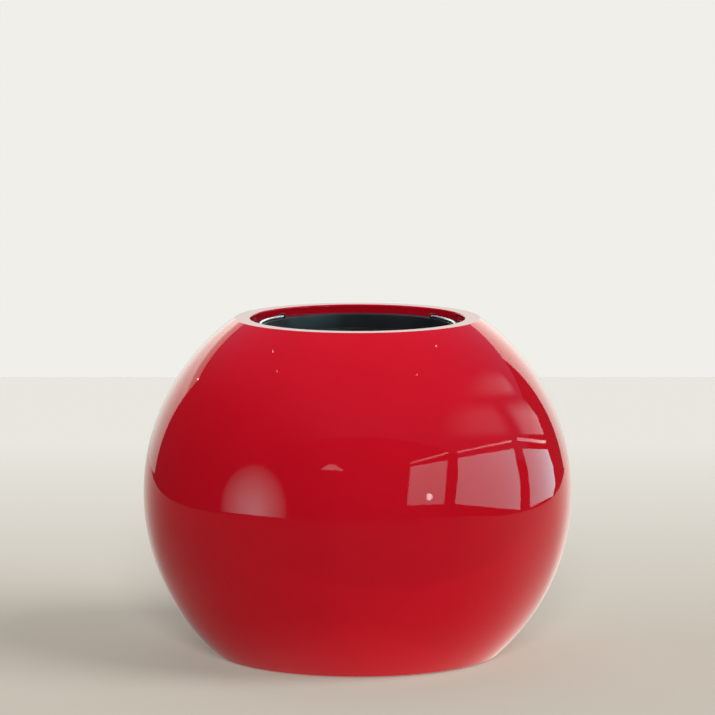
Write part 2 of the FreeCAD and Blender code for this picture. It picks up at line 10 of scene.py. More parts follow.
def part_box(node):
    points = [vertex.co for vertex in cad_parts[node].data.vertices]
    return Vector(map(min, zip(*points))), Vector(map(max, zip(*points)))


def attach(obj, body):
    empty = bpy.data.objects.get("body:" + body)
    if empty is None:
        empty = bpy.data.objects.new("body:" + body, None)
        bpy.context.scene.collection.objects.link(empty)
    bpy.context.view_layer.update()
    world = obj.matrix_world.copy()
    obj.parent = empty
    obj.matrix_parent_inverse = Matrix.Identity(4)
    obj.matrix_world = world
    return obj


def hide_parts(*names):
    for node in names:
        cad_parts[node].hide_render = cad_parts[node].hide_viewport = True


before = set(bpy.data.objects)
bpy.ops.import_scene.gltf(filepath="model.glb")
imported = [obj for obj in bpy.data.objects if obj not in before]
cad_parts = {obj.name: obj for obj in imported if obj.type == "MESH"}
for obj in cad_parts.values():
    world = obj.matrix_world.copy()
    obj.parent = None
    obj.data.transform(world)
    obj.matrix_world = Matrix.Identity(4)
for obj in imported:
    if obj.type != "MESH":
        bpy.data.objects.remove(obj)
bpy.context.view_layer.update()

# Sizes of the shell in metres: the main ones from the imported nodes, the rest as the solids have them.
# The floor is raised in the middle, up to the deck, over the hollow that holds the drain nut.
BALL_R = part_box("upper_shell")[1].x
BALL_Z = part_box("upper_shell")[0].z
RIM_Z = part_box("upper_shell")[1].z
BASE_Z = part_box("lower_shell")[0].z
COLLAR_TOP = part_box("rim_collar")[1].z
FLOOR_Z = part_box("base_board")[0].z
DECK_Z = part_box("base_board")[1].z
RECESS_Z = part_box("drain_nut")[1].z
SHELL_WALL = 0.006
RIM_EDGE = 0.003
MOUTH_R = 0.190
MOUTH_EDGE = 0.0025
BASE_EDGE = 0.006
RECESS_R = 0.05817
RAISED_R = 0.06617
DRAIN_HOLE_R = 0.0183
FOOT_COUNT = 6
FOOT_RING_R = 0.210
FOOT_POCKET_R = 0.0224
FOOT_POCKET_DEEP = 0.003
SCREW_HOLE_R = 0.00215

# Fineness of the turned skins, and the decimals of a metre to which points that meet are the same.
SIDES = 288
SMALL_SIDES = 48
BALL_STEPS = 60
INSIDE_STEPS = 30
EDGE_STEPS = 8
MERGE_DIGITS = 7


def turns(sides):
    """Cosine and sine of each step of a full turn, the last one the same as the first."""
    angles = [math.tau * (k % sides) / sides for k in range(sides + 1)]
    return [(math.cos(a), math.sin(a)) for a in angles]


TURNS = turns(SIDES)


class Skin:
    """A mesh in the making, whose corners carry their own normals so that edges stay crisp."""

    def __init__(self):
        self.points = []
        self.places = {}
        self.faces = []
        self.normals = []
        self.slots = []

    def point(self, place):
        """The number of the point at a place, which is added where there is none."""
        key = tuple(round(c, MERGE_DIGITS) for c in place)
        if key not in self.places:
            self.places[key] = len(self.points)
            self.points.append(tuple(place))
        return self.places[key]

    def face(self, places, normals, slot):
        """Adds a face that looks the way its normals point."""
        corners = [self.point(p) for p in places]
        a, b, c = (Vector(p) for p in places[:3])
        if (b - a).cross(c - a).dot(Vector(normals[0])) < 0:
            corners.reverse()
            normals = normals[::-1]
        self.faces.append(corners)
        self.normals.extend(normals)
        self.slots.append(slot)

    def turn(self, run, slot):
        """Sweeps a run of (r, z, normal r, normal z) round the upright axis."""
        for lower, upper in zip(run, run[1:]):
            for a, b in zip(TURNS, TURNS[1:]):
                corners = [(lower, a), (lower, b), (upper, b), (upper, a)]
                places = [(p[0] * c, p[0] * s, p[1]) for p, (c, s) in corners]
                normals = [(p[2] * c, p[2] * s, p[3]) for p, (c, s) in corners]
                self.face(places, normals, slot)

    def flat(self, rings, upward, slot):
        """Fills the first ring, less the others, with a level face."""
        places = [p for ring in rings for p in ring]
        normal = (0.0, 0.0, 1.0 if upward else -1.0)
        for corners in tessellate_polygon([[Vector(p) for p in ring] for ring in rings]):
            self.face([places[k] for k in corners], [normal] * 3, slot)

    def bore(self, middle, low, high, slot):
        """The wall of an upright round hole between two rings of the same size."""
        inward = [(middle[0] - p[0], middle[1] - p[1], 0.0) for p in low]
        normals = [Vector(n).normalized()[:] for n in inward]
        for k in range(len(low)):
            j = (k + 1) % len(low)
            places = [low[k], low[j], high[j], high[k]]
            self.face(places, [normals[k], normals[j], normals[j], normals[k]], slot)

    def piece(self, name, materials):
        """Turns the mesh into an object."""
        mesh = bpy.data.meshes.new(name)
        mesh.from_pydata(self.points, [], self.faces)
        for material in materials:
            mesh.materials.append(material)
        mesh.polygons.foreach_set("material_index", self.slots)
        mesh.shade_smooth()
        mesh.normals_split_custom_set(self.normals)
        obj = bpy.data.objects.new(name, mesh)
        bpy.context.scene.collection.objects.link(obj)
        return obj


def ring(radius, z, middle=(0.0, 0.0), steps=TURNS):
    """The points of a level circle."""
    return [(middle[0] + radius * c, middle[1] + radius * s, z) for c, s in steps[:-1]]


def straight(r0, z0, r1, z1):
    """A straight run of a turned outline, with the outside on its right."""
    length = math.hypot(r1 - r0, z1 - z0)
    normal = ((z1 - z0) / length, (r0 - r1) / length)
    return [(r0, z0, *normal), (r1, z1, *normal)]


def arc(r, z, radius, start, end, steps):
    """A round run about (r, z), angles in radians, with the outside on its right."""
    side = 1.0 if end > start else -1.0
    run = []
    for k in range(steps + 1):
        angle = start + (end - start) * k / steps
        c, s = math.cos(angle), math.sin(angle)
        run.append((r + radius * c, z + radius * s, side * c, side * s))
    return run


def ball_angle(radius, height):
    """Angle above the ball's middle at which a ball of this radius meets that height."""
    return math.asin((height - BALL_Z) / radius)


# Where the edge roundings of the rim and the base touch the ball.
INNER_R = BALL_R - SHELL_WALL
RIM_ANGLE = ball_angle(BALL_R - RIM_EDGE, RIM_Z - RIM_EDGE)
RIM_MID = (BALL_R - RIM_EDGE) * math.cos(RIM_ANGLE)
BASE_ANGLE = ball_angle(BALL_R - BASE_EDGE, BASE_Z + BASE_EDGE)
BASE_MID = (BALL_R - BASE_EDGE) * math.cos(BASE_ANGLE)
LACQUER, LAMINATE = 0, 1


def upper_skin():
    """Upper half of the shell: ball, rounded rim, mouth and the bare inside."""
    skin = Skin()
    corner = ball_angle(INNER_R, COLLAR_TOP)
    skin.turn(arc(0, BALL_Z, BALL_R, 0, RIM_ANGLE, BALL_STEPS), LACQUER)
    skin.turn(arc(RIM_MID, RIM_Z - RIM_EDGE, RIM_EDGE, RIM_ANGLE, math.pi / 2, EDGE_STEPS), LACQUER)
    skin.turn(straight(RIM_MID, RIM_Z, MOUTH_R + MOUTH_EDGE, RIM_Z), LACQUER)
    mouth = arc(MOUTH_R + MOUTH_EDGE, RIM_Z - MOUTH_EDGE, MOUTH_EDGE, math.pi / 2, math.pi, EDGE_STEPS)
    skin.turn(mouth, LACQUER)
    skin.turn(straight(MOUTH_R, RIM_Z - MOUTH_EDGE, MOUTH_R, COLLAR_TOP), LACQUER)
    skin.turn(straight(MOUTH_R, COLLAR_TOP, INNER_R * math.cos(corner), COLLAR_TOP), LAMINATE)
    skin.turn(arc(0, BALL_Z, INNER_R, corner, 0, INSIDE_STEPS), LAMINATE)
    skin.turn(straight(INNER_R, BALL_Z, BALL_R, BALL_Z), LAMINATE)
    return skin


def lower_skin():
    """Lower half of the shell: ball, base with its foot pockets, drain hollow and the bare inside."""
    skin = Skin()
    floor = ball_angle(INNER_R, FLOOR_Z)
    floor_r = INNER_R * math.cos(floor)
    skin.turn(arc(BASE_MID, BASE_Z + BASE_EDGE, BASE_EDGE, -math.pi / 2, BASE_ANGLE, EDGE_STEPS), LACQUER)
    skin.turn(arc(0, BALL_Z, BALL_R, BASE_ANGLE, 0, BALL_STEPS), LACQUER)
    skin.turn(straight(BALL_R, BALL_Z, INNER_R, BALL_Z), LAMINATE)
    skin.turn(arc(0, BALL_Z, INNER_R, 0, floor, INSIDE_STEPS), LAMINATE)
    skin.turn(straight(RAISED_R, FLOOR_Z, RAISED_R, DECK_Z), LAMINATE)
    skin.turn(straight(RAISED_R, DECK_Z, DRAIN_HOLE_R, DECK_Z), LAMINATE)
    skin.turn(straight(DRAIN_HOLE_R, DECK_Z, DRAIN_HOLE_R, RECESS_Z), LAMINATE)
    skin.turn(straight(DRAIN_HOLE_R, RECESS_Z, RECESS_R, RECESS_Z), LACQUER)
    skin.turn(straight(RECESS_R, RECESS_Z, RECESS_R, BASE_Z), LACQUER)
    steps = turns(SMALL_SIDES)
    pocket_z = BASE_Z + FOOT_POCKET_DEEP
    under = [ring(BASE_MID, BASE_Z), ring(RECESS_R, BASE_Z)]
    inside = [ring(floor_r, FLOOR_Z), ring(RAISED_R, FLOOR_Z)]
    for c, s in turns(FOOT_COUNT)[:-1]:
        middle = (FOOT_RING_R * c, FOOT_RING_R * s)
        mouth = ring(FOOT_POCKET_R, BASE_Z, middle, steps)
        top = ring(FOOT_POCKET_R, pocket_z, middle, steps)
        hole_low = ring(SCREW_HOLE_R, pocket_z, middle, steps)
        hole_high = ring(SCREW_HOLE_R, FLOOR_Z, middle, steps)
        skin.bore(middle, mouth, top, LACQUER)
        skin.flat([top, hole_low], False, LACQUER)
        skin.bore(middle, hole_low, hole_high, LAMINATE)
        under.append(mouth)
        inside.append(hole_high)
    skin.flat(under, False, LACQUER)
    skin.flat(inside, True, LAMINATE)
    return skin


# The ranges that most of a cloudy pattern, or of a streaky one, falls in, and a pattern's plain proportions.
CLOUDY = (0.35, 0.65)
STREAKY = (0.3, 0.7)
UNSTRETCHED = (1.0, 1.0, 1.0)


class Finish:
    """A procedural material on one Principled shader, read in object coordinates."""

    def __init__(self, name, constants):
        self.material = bpy.data.materials.new(name)
        self.material.use_nodes = True
        self.tree = self.material.node_tree
        self.shader = self.tree.nodes["Principled BSDF"]
        self.place = self.node("ShaderNodeTexCoord").outputs["Object"]
        for socket, value in constants.items():
            self.shader.inputs[socket].default_value = value

    def node(self, kind):
        """A new node of the material."""
        return self.tree.nodes.new(kind)

    def link(self, output, socket):
        """Joins a node's output to a socket."""
        self.tree.links.new(output, socket)

    def noise(self, scale, detail=3.0, stretch=UNSTRETCHED):
        """Cloudy pattern, this many cells to a metre, drawn out along an axis where stretch is under 1."""
        mapping = self.node("ShaderNodeMapping")
        mapping.inputs["Scale"].default_value = stretch
        self.link(self.place, mapping.inputs["Vector"])
        noise = self.node("ShaderNodeTexNoise")
        noise.inputs["Scale"].default_value = scale
        noise.inputs["Detail"].default_value = detail
        self.link(mapping.outputs["Vector"], noise.inputs["Vector"])
        return noise.outputs["Fac"]

    def cells(self, scale):
        """Distance to the nearest of many scattered points."""
        cells = self.node("ShaderNodeTexVoronoi")
        cells.inputs["Scale"].default_value = scale
        self.link(self.place, cells.inputs["Vector"])
        return cells.outputs["Distance"]

    def along(self, axis):
        """The place along an axis, in metres."""
        parts = self.node("ShaderNodeSeparateXYZ")
        self.link(self.place, parts.inputs["Vector"])
        return parts.outputs[axis]

    def spread(self, source, old, new):
        """Maps the range old of a pattern onto the range new, and stops at its ends."""
        node = self.node("ShaderNodeMapRange")
        self.link(source, node.inputs["Value"])
        for socket, value in zip(("From Min", "From Max", "To Min", "To Max"), (*old, *new)):
            node.inputs[socket].default_value = value
        return node.outputs["Result"]

    def combine(self, operation, first, second=0.0):
        """Works on one or two patterns or numbers."""
        node = self.node("ShaderNodeMath")
        node.operation = operation
        for socket, source in zip(node.inputs, (first, second)):
            if isinstance(source, float):
                socket.default_value = source
            else:
                self.link(source, socket)
        return node.outputs["Value"]

    def colours(self, source, low, high, old=CLOUDY):
        """Blends two colours by a pattern."""
        ramp = self.node("ShaderNodeValToRGB")
        first, second = ramp.color_ramp.elements
        first.position, second.position = old
        first.color, second.color = (*low, 1.0), (*high, 1.0)
        self.link(source, ramp.inputs["Fac"])
        return ramp.outputs["Color"]

    def mix(self, share, first, second):
        """Blends two colours by a share."""
        node = self.node("ShaderNodeMix")
        node.data_type = "RGBA"
        self.link(share, node.inputs["Factor"])
        self.link(first, node.inputs["A"])
        self.link(second, node.inputs["B"])
        return node.outputs["Result"]

    def wear(self, colour=None, roughness=None, bump=None, depth=0.0):
        """Sends patterns to the shader: its colour, its roughness, and a relief of this depth in metres."""
        if colour is not None:
            self.link(colour, self.shader.inputs["Base Color"])
        if roughness is not None:
            self.link(roughness, self.shader.inputs["Roughness"])
        if bump is not None:
            relief = self.node("ShaderNodeBump")
            relief.inputs["Distance"].default_value = depth
            self.link(bump, relief.inputs["Height"])
            self.link(relief.outputs["Normal"], self.shader.inputs["Normal"])
        return self.material


# Colours of the finishes, each as the lower and the upper end of its variation.
RED = (0.60, 0.0050, 0.0165), (0.64, 0.0060, 0.0190)
RESIN = (0.24, 0.22, 0.15), (0.50, 0.48, 0.37)
BIRCH = (0.36, 0.22, 0.11), (0.56, 0.39, 0.22)
BIRCH_EDGE = (0.24, 0.13, 0.06), (0.50, 0.34, 0.19)
BLACK = (0.014, 0.0145, 0.0155), (0.026, 0.027, 0.029)
SEAL_BLACK = (0.022, 0.022, 0.022), (0.036, 0.036, 0.036)
FOOT_BLACK = (0.022, 0.022, 0.023), (0.04, 0.04, 0.042)
STOPPER_GREY = (0.09, 0.09, 0.09), (0.14, 0.14, 0.138)
ZINC = (0.52, 0.52, 0.5), (0.66, 0.66, 0.63)
STEEL = (0.58, 0.58, 0.57), (0.68, 0.68, 0.67)
GALVANISED = (0.5, 0.51, 0.52), (0.66, 0.67, 0.68)

# Measures of the patterns, in metres, and how far they are drawn out along each axis.
SCUFF_HEIGHT = 0.03
SCUFF_STRETCH = (0.25, 0.25, 1.0)
ALONG_X, ALONG_Y = (0.12, 1.0, 1.0), (1.0, 0.12, 1.0)
GRAIN_STRETCH = (0.06, 1.0, 1.0)
PLIES_PER_METRE = 290.0


def lacquer():
    """High-gloss red: nearly even colour, faint polishing haze, fine scuffs near the base."""
    finish = Finish("red_lacquer", {"IOR": 1.2})
    colour = finish.colours(finish.noise(scale=5.0), *RED)
    haze = finish.spread(finish.noise(scale=9.0, detail=4.0), old=CLOUDY, new=(0.022, 0.036))
    low = finish.spread(finish.along("Z"), old=(BASE_Z, BASE_Z + SCUFF_HEIGHT), new=(1.0, 0.0))
    scratches = finish.noise(scale=420.0, detail=2.0, stretch=SCUFF_STRETCH)
    scuff = finish.spread(scratches, old=(0.62, 0.75), new=(0.0, 0.3))
    rough = finish.combine("ADD", haze, finish.combine("MULTIPLY", low, scuff))
    ripple = finish.noise(scale=70.0, detail=1.0)
    return finish.wear(colour, rough, bump=ripple, depth=0.000004)


def laminate():
    """Bare glass-fibre: short strands under resin, uneven gloss and a coarse relief."""
    finish = Finish("laminate", {"IOR": 1.5})
    across, along = (finish.noise(scale=230.0, detail=2.0, stretch=way) for way in (ALONG_Y, ALONG_X))
    strands = finish.combine("MULTIPLY", across, along)
    knots = finish.combine("MULTIPLY", finish.cells(scale=90.0), 0.15)
    pattern = finish.combine("ADD", strands, knots)
    colour = finish.colours(pattern, *RESIN, old=(0.2, 0.45))
    rough = finish.spread(finish.noise(scale=14.0), old=CLOUDY, new=(0.38, 0.7))
    return finish.wear(colour, rough, bump=pattern, depth=0.0006)


def moulded(name, colours, rough, grain, depth):
    """Moulded plastic or rubber with a fine grain, this many to a metre and this deep, and uneven sheen."""
    finish = Finish(name, {"IOR": 1.48})
    colour = finish.colours(finish.noise(scale=11.0, detail=4.0), *colours)
    sheen = finish.spread(finish.noise(scale=17.0, detail=5.0), old=CLOUDY, new=rough)
    return finish.wear(colour, sheen, bump=finish.noise(grain, detail=2.0), depth=depth)


def plywood():
    """Sealed birch: long grain on the faces, thin plies along the edges."""
    finish = Finish("plywood", {"IOR": 1.45})
    grain = finish.noise(scale=60.0, detail=6.0, stretch=GRAIN_STRETCH)
    face = finish.colours(grain, *BIRCH)
    plies = finish.combine("FRACT", finish.combine("MULTIPLY", finish.along("Z"), PLIES_PER_METRE))
    edge = finish.colours(plies, *BIRCH_EDGE, old=(0.42, 0.58))
    facing = finish.node("ShaderNodeSeparateXYZ")
    finish.link(finish.node("ShaderNodeNewGeometry").outputs["Normal"], facing.inputs["Vector"])
    level = finish.spread(finish.combine("ABSOLUTE", facing.outputs["Z"]), old=(0.4, 0.6), new=(0.0, 1.0))
    rough = finish.spread(grain, old=STREAKY, new=(0.45, 0.65))
    return finish.wear(finish.mix(level, edge, face), rough, bump=grain, depth=0.00008)


def metal(name, colours, rough, stretch=UNSTRETCHED):
    """Plated or drawn steel, with streaks along its length where stretch draws them out."""
    finish = Finish(name, {"Metallic": 1.0})
    colour = finish.colours(finish.noise(scale=120.0, detail=4.0), *colours)
    streaks = finish.noise(scale=900.0, detail=3.0, stretch=stretch)
    return finish.wear(colour, finish.spread(streaks, old=STREAKY, new=rough), bump=streaks, depth=0.000012)


shell_finish = lacquer()
laminate_finish = laminate()
wire_finish = metal("galvanised_wire", GALVANISED, rough=(0.2, 0.42), stretch=ALONG_Y)
FINISHES = {
    "rim_collar": shell_finish,
    "joint_band": laminate_finish,
    "seat_gasket": moulded("gasket_rubber", SEAL_BLACK, rough=(0.62, 0.8), grain=1500.0, depth=0.00003),
    "base_board": plywood(),
    "foot_pads": moulded("foot_rubber", FOOT_BLACK, rough=(0.68, 0.86), grain=900.0, depth=0.00005),
    "foot_screws": metal("zinc_plate", ZINC, rough=(0.22, 0.4)),
    "drain_bush": moulded("drain_plastic", BLACK, rough=(0.34, 0.5), grain=1600.0, depth=0.00002),
    "drain_washer": moulded("washer_rubber", SEAL_BLACK, rough=(0.62, 0.8), grain=1500.0, depth=0.00003),
    "drain_nut": moulded("nut_plastic", BLACK, rough=(0.34, 0.5), grain=1600.0, depth=0.00002),
    "drain_stopper": moulded("stopper_rubber", STOPPER_GREY, rough=(0.6, 0.78), grain=1200.0, depth=0.00003),
    "stopper_ring": metal("bright_steel", STEEL, rough=(0.14, 0.26)),
    "liner_pot": moulded("liner_plastic", BLACK, rough=(0.38, 0.56), grain=1300.0, depth=0.00005),
    "handle_clips": moulded("clip_nylon", BLACK, rough=(0.3, 0.45), grain=1800.0, depth=0.00002),
    "handle_right": wire_finish,
    "handle_left": wire_finish,
}
for node, material in FINISHES.items():
    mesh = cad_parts[node].data
    mesh.materials.clear()
    mesh.materials.append(material)

for skin, node in ((upper_skin(), "upper_shell"), (lower_skin(), "lower_shell")):
    obj = skin.piece(node + "_skin", [shell_finish, laminate_finish])
    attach(obj, "planter")
    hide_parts(node)


# The camera, at the photograph's viewing angle. Places in pixels are in its square frame.
SENSOR = 36.0
FRAME_PIXELS = 715
FOCAL_PIXELS = 5000.0
MIDDLE_BELOW_PIXELS = 134.1
CAMERA_REACH = 8.887
CAMERA_LIFT = math.radians(9.1)
MIDDLE_DROP = math.atan(MIDDLE_BELOW_PIXELS / FOCAL_PIXELS)
MIDDLE = Vector((0.0, 0.0, BALL_Z))
camera_data = bpy.data.cameras.new("camera")
camera_data.sensor_width = SENSOR
camera_data.lens = SENSOR * FOCAL_PIXELS / FRAME_PIXELS
camera = bpy.data.objects.new("camera", camera_data)
bpy.context.scene.collection.objects.link(camera)
camera.location = (0.0, -CAMERA_REACH * math.cos(CAMERA_LIFT), BALL_Z + CAMERA_REACH * math.sin(CAMERA_LIFT))
camera.rotation_euler = (math.pi / 2 - (CAMERA_LIFT - MIDDLE_DROP), 0.0, 0.0)
bpy.context.scene.camera = camera


# The studio: a plain pale floor, soft lamps, and screens that only reflections see.
def between(span, share):
    """The value at a share of the way from one end of a span to the other."""
    return span[0] + (span[1] - span[0]) * share


def smooth(start, end, value):
    """Eases from 0 at start to 1 at end."""
    share = min(max((value - start) / (end - start), 0.0), 1.0)
    return share * share * (3.0 - 2.0 * share)


def soft(share, rise, fall):
    """Eases in over the first part of a screen and out over its last, where those parts aren't 0."""
    level = 1.0
    if rise:
        level *= smooth(0.0, rise, share)
    if fall:
        level *= smooth(1.0, 1.0 - fall, share)
    return level


def towards(azimuth, elevation, reach):
    """A point seen from the ball's middle, in degrees right of the camera's side and above level."""
    a, e = math.radians(azimuth), math.radians(elevation)
    return MIDDLE + reach * Vector((math.cos(e) * math.sin(a), -math.cos(e) * math.cos(a), math.sin(e)))


def mirrored(x, y, reach):
    """The point that the ball mirrors to the camera at a pixel, this far from the ball."""
    pixel = Vector((x - FRAME_PIXELS / 2, FRAME_PIXELS / 2 - y, -FOCAL_PIXELS))
    ray = camera.rotation_euler.to_matrix() @ pixel.normalized()
    eye = camera.location - MIDDLE
    nearest = -eye.dot(ray)
    depth = nearest - math.sqrt(max(nearest ** 2 - eye.length_squared + BALL_R ** 2, 0.0))
    hit = eye + depth * ray
    return MIDDLE + hit + reach * ray.reflect(hit.normalized())


def edge_on(point):
    """How far a ray that grazes the ball's outline bends to reach a point, in radians."""
    ahead = (MIDDLE - camera.location).normalized()
    out = point - MIDDLE
    outline = MIDDLE + BALL_R * (out - ahead * out.dot(ahead)).normalized()
    return (point - outline).angle(outline - camera.location)


# The share of light that is lost at the outline, and the bend, in radians, below which the loss begins.
OUTLINE_LOSS = 0.4
OUTLINE_BEND = 0.4


def outline_dim(point):
    """Dims what the ball mirrors at its very outline."""
    return 1.0 - OUTLINE_LOSS * smooth(OUTLINE_BEND, 0.0, edge_on(point))


# The floor's edges, and its colours in front and behind, which blend over a stretch of its depth: painted
# shade, darker in front and paler behind, for light that falls off towards the front.
FLOOR_FRONT, FLOOR_BACK, FLOOR_SIDE = -12.0, 3.61, 9.0
FLOOR_FALLOFF_COLOURS = (0.266, 0.246, 0.211), (0.38, 0.37, 0.344)
FLOOR_FALLOFF_SPAN = (0.1, 2.5)


def studio_floor():
    """A plain matt floor that casts no shadow and shows in no reflection, with painted shade: darker in
    front, paler behind.
    """
    mesh = bpy.data.meshes.new("studio_floor")
    corners = [(-FLOOR_SIDE, FLOOR_FRONT), (FLOOR_SIDE, FLOOR_FRONT),
               (FLOOR_SIDE, FLOOR_BACK), (-FLOOR_SIDE, FLOOR_BACK)]
    mesh.from_pydata([(x, y, 0.0) for x, y in corners], [], [(0, 1, 2, 3)])
    finish = Finish("studio_floor", {"IOR": 1.0})
    # Painted shade: the colour darkens towards the front, standing in for light that falls off.
    depth = finish.spread(finish.along("Y"), old=FLOOR_FALLOFF_SPAN, new=(0.0, 1.0))
    colour = finish.colours(depth, *FLOOR_FALLOFF_COLOURS, old=(0.0, 1.0))
    rough = finish.spread(finish.noise(scale=3.0), old=CLOUDY, new=(0.5, 0.6))
    mesh.materials.append(finish.wear(colour, rough))
    obj = bpy.data.objects.new("studio_floor", mesh)
    bpy.context.scene.collection.objects.link(obj)
    obj.visible_shadow = obj.visible_glossy = False
    return obj


def screen_light():
    """Light of the screens: the brightness kept at their points, added to what is behind them."""
    material = bpy.data.materials.new("screen_light")
    material.cycles.emission_sampling = "NONE"
    material.use_nodes = True
    tree = material.node_tree
    tree.nodes.clear()
    glow = tree.nodes.new("ShaderNodeEmission")
    level = tree.nodes.new("ShaderNodeAttribute")
    level.attribute_name = "glow"
    clear = tree.nodes.new("ShaderNodeBsdfTransparent")
    both = tree.nodes.new("ShaderNodeAddShader")
    output = tree.nodes.new("ShaderNodeOutputMaterial")
    tree.links.new(level.outputs["Color"], glow.inputs["Color"])
    tree.links.new(glow.outputs["Emission"], both.inputs[0])
    tree.links.new(clear.outputs["BSDF"], both.inputs[1])
    tree.links.new(both.outputs["Shader"], output.inputs["Surface"])
    return material


SCREEN_LIGHT = screen_light()

# Tints of the screens.
WHITE = (1.0, 1.0, 1.0)
BOX_TINT = (0.4, 0.93, 1.0)
DOME_TINT = (0.45, 1.0, 1.03)
PANEL_TINT = (0.85, 1.0, 0.9)
MOUTH_TINT = (0.62, 1.0, 0.93)
FLOOR_TINT = (1.0, 1.0, 0.88)
TOP_TINT = (0.7, 0.9, 1.5)


def screen(name, columns, rows, place, light, tint=WHITE):
    """A sheet that only reflections see. place(u, v) puts its points, light(u, v) sets their brightness."""
    grid = [(i / columns, j / rows) for j in range(rows + 1) for i in range(columns + 1)]
    width = columns + 1
    faces = [(j * width + i, j * width + i + 1, (j + 1) * width + i + 1, (j + 1) * width + i)
             for j in range(rows) for i in range(columns)]
    mesh = bpy.data.meshes.new(name)
    mesh.from_pydata([place(u, v) for u, v in grid], [], faces)
    glow = mesh.color_attributes.new("glow", "FLOAT_COLOR", "POINT")
    for (u, v), point in zip(grid, glow.data):
        level = light(u, v)
        point.color = (level * tint[0], level * tint[1], level * tint[2], 1.0)
    mesh.materials.append(SCREEN_LIGHT)
    obj = bpy.data.objects.new(name, mesh)
    bpy.context.scene.collection.objects.link(obj)
    obj.visible_camera = obj.visible_diffuse = obj.visible_shadow = False
    obj.visible_transmission = obj.visible_volume_scatter = False


def part_way(line, share):
    """A point of a broken line, its steps counted alike."""
    place = share * (len(line) - 1)
    step = min(int(place), len(line) - 2)
    return [between(pair, place - step) for pair in zip(line[step], line[step + 1])]


# Distances of the soft boxes from the ball.
BOX_REACH = 2.2
DOME_REACH = 2.6
SPOT_REACH = 2.0
WASH_REACH = 2.4


def softbox(name, left, right, light, tint=WHITE, reach=BOX_REACH, columns=20, rows=20):
    """A screen that shows in the ball between two lines of pixels, each given from its lower end."""

    def place(u, v):
        ends = zip(part_way(left, v), part_way(right, v))
        return mirrored(*(between(pair, u) for pair in ends), reach)

    screen(name, columns, rows, place, light, tint)


def even(strength):
    """The same brightness all over a screen."""
    return lambda u, v: strength


def rising(strength, rise):
    """A brightness that changes from the lower end of a screen to its upper one."""
    return lambda u, v: strength * between(rise, v)


def patch(strength, across, upwards):
    """A brightness that changes from left to right, and eases in and out across and upwards."""
    return lambda u, v: between(strength, u) * soft(u, *across) * soft(v, *upwards)


# Left and right line of each tall box and of the strip above it, in pixels, and its brightness.
TALL_BOXES = {
    "left": ([(407.0, 505.5), (410.6, 467.0)], [(444.3, 504.0), (447.6, 460.0)], 8.8),
    "middle": ([(455.0, 504.0), (457.5, 481.0), (458.0, 458.0)],
               [(520.5, 510.0), (520.3, 481.0), (514.0, 448.7)], 11.6),
    "right": ([(530.2, 507.5), (530.0, 490.0), (528.0, 470.0), (522.2, 448.5)],
              [(553.0, 496.0), (555.4, 484.0), (553.0, 466.0), (547.6, 449.5)], 7.6),
}
STRIPS = {
    "left": ([(410.3, 463.9), (410.3, 462.6)], [(448.2, 453.8), (448.2, 451.6)], 10.0),
    "middle": ([(457.4, 452.8), (457.4, 451.2)], [(511.4, 442.2), (511.4, 440.0)], 11.0),
    "right": ([(517.0, 440.6), (517.0, 437.4)], [(545.8, 443.4), (545.8, 440.6)], 8.5),
}
BOX_RISE = (0.9, 1.1)


def tall_boxes():
    """Three tall boxes on the right, brighter towards the top, each with a thin strip of light above it."""
    for name, (left, right, strength) in TALL_BOXES.items():
        softbox("box_" + name, left, right, rising(strength, BOX_RISE), BOX_TINT)
    for name, (left, right, strength) in STRIPS.items():
        softbox("strip_" + name, left, right, even(strength), rows=1)


# The half-round light: the lines of its screen, its middle and half sizes in pixels, and how it fades
# with the distance from its middle, counted in half sizes.
DOME_COLUMNS = (220.0, 289.0)
DOME_ROWS = (513.0, 463.0)
DOME_LEFT = [(DOME_COLUMNS[0], 511.5), (DOME_COLUMNS[0], DOME_ROWS[1])]
DOME_RIGHT = [(DOME_COLUMNS[1], 519.0), (DOME_COLUMNS[1], DOME_ROWS[1])]
DOME_MIDDLE = (254.0, 507.0)
DOME_HALF = (34.0, 44.0)
DOME_STRENGTH = 13.0
DOME_FADE = 1.05
DOME_EDGE = (1.02, 0.9)

# The small light beside it.
CAP_LEFT = [(319.7, 469.8), (329.0, 464.6)]
CAP_RIGHT = [(343.9, 470.8), (334.5, 464.6)]
CAP_STRENGTH = 9.0

# Points of light: place and radius in pixels, and brightness. The angles give the points of their outline.
SPOTS = [
    (429.6, 496.8, 3.5, 45.0),
    (273.0, 351.0, 1.2, 18.0),
    (436.0, 346.0, 1.2, 14.0),
    (277.0, 371.0, 1.1, 14.0),
    (417.0, 375.0, 1.1, 12.0),
    (198.0, 379.0, 1.0, 9.0),
]
SPOT_ANGLES = (0.3, 1.1, 2.0, 2.84)


def round_boxes():
    """A half-round soft light on the left, a small one beside it, and points of light."""

    def dome(u, v):
        x, y = between(DOME_COLUMNS, u), between(DOME_ROWS, v)
        out = math.hypot((x - DOME_MIDDLE[0]) / DOME_HALF[0], (y - DOME_MIDDLE[1]) / DOME_HALF[1])
        return DOME_STRENGTH * max(0.0, DOME_FADE - out) * smooth(*DOME_EDGE, out)

    softbox("dome", DOME_LEFT, DOME_RIGHT, dome, DOME_TINT, DOME_REACH, columns=46, rows=34)
    softbox("cap", CAP_LEFT, CAP_RIGHT, even(CAP_STRENGTH), reach=DOME_REACH)
    for number, (x, y, radius, strength) in enumerate(SPOTS):
        left = [(x - radius * math.sin(a), y + radius * math.cos(a)) for a in SPOT_ANGLES]
        right = [(x + radius * math.sin(a), y + radius * math.cos(a)) for a in SPOT_ANGLES]
        softbox(f"spot_{number}", left, right, even(strength), reach=SPOT_REACH, columns=2, rows=9)


